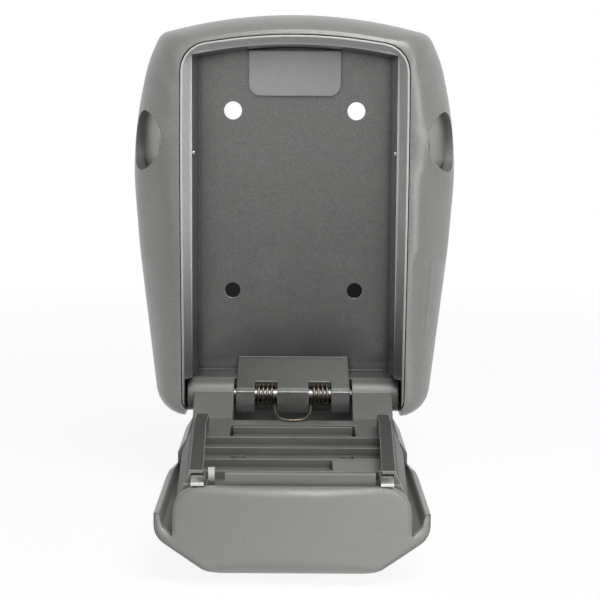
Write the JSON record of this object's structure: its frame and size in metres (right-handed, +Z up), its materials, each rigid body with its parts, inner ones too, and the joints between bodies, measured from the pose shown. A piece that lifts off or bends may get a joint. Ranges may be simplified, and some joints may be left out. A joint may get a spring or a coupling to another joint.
{
  "type": "wall key safe",
  "caption": "Wall key safe with an arched hollow case, a drop-down door on a sprung hinge, and a combination lock with number wheels, a sliding latch, a reset lever and a shutter.",
  "frame": {"origin": "on the back face, in the plane of the wall, midway between the upper screw holes and the lower spare holes", "axes": "+Z up, +Y into the wall, so the mouth faces -Y and +X is to the right of someone facing it"},
  "size_m": [0.104, 0.1378, 0.1519],
  "materials": {
    "shell_zinc": "satin grey coat with a fine grain",
    "door_zinc": "satin light grey coat",
    "cover_grey": "moulded dark grey",
    "steel": "zinc plated",
    "bolt_chrome": "bright plated",
    "spring_steel": "drawn wire",
    "plug_rubber": "black rubber",
    "wheel_plastic": "black with pale numbers",
    "black_plastic": "black"
  },
  "bodies": {
    "case": {"case_body": "shell_zinc", "outer_shell": "shell_zinc", "blanking_plate": "door_zinc", "plate_posts": "steel", "hole_plugs": "plug_rubber", "side_rivets": "steel", "shell_screws": "steel", "hinge_pin": "steel", "hinge_spring": "spring_steel"},
    "door": {"door_shell": "door_zinc", "mechanism_cover": "cover_grey", "cover_screws": "steel", "dial_shaft": "steel", "shaft_clips": "steel", "detent_spring": "spring_steel", "latch_springs": "spring_steel"},
    "latch": {"latch_slider": "steel", "latch_bolts": "bolt_chrome", "open_button": "black_plastic", "button_screw": "steel"},
    "reset": {"reset_lever": "bolt_chrome"},
    "shutter": {"dial_shutter": "black_plastic"},
    "dial_1": {"number_wheel_1": "wheel_plastic", "dial_hub_1": "black_plastic"},
    "dial_2": {"number_wheel_2": "wheel_plastic", "dial_hub_2": "black_plastic"},
    "dial_3": {"number_wheel_3": "wheel_plastic", "dial_hub_3": "black_plastic"},
    "dial_4": {"number_wheel_4": "wheel_plastic", "dial_hub_4": "black_plastic"}
  },
  "joints": [
    {"name": "door_hinge", "type": "hinge", "parent": "case", "child": "door", "pos_m": [0, -0.0264, -0.061], "axis": [-1, 0, 0], "range_deg": [0, 90], "stiffness_Nm_per_rad": 0.03, "springref_deg": -20.05, "deforming": ["hinge_spring"]},
    {"name": "latch_slide", "type": "slide", "parent": "door", "child": "latch", "axis": [0, -1, 0], "range_m": [0, 0.003], "deforming": ["latch_springs"]},
    {"name": "reset_slide", "type": "slide", "parent": "door", "child": "reset", "axis": [1, 0, 0], "range_m": [0, 0.0022]},
    {"name": "shutter_slide", "type": "slide", "parent": "door", "child": "shutter", "axis": [0, 1, 0], "range_m": [0, 0.036]},
    {"name": "dial_1_spin", "type": "hinge", "parent": "door", "child": "dial_1", "pos_m": [-0.0105, -0.0962, -0.0799], "axis": [1, 0, 0], "continuous": true},
    {"name": "dial_2_spin", "type": "hinge", "parent": "door", "child": "dial_2", "pos_m": [-0.0035, -0.0962, -0.0799], "axis": [1, 0, 0], "continuous": true},
    {"name": "dial_3_spin", "type": "hinge", "parent": "door", "child": "dial_3", "pos_m": [0.0035, -0.0962, -0.0799], "axis": [1, 0, 0], "continuous": true},
    {"name": "dial_4_spin", "type": "hinge", "parent": "door", "child": "dial_4", "pos_m": [0.0105, -0.0962, -0.0799], "axis": [1, 0, 0], "continuous": true}
  ]
}
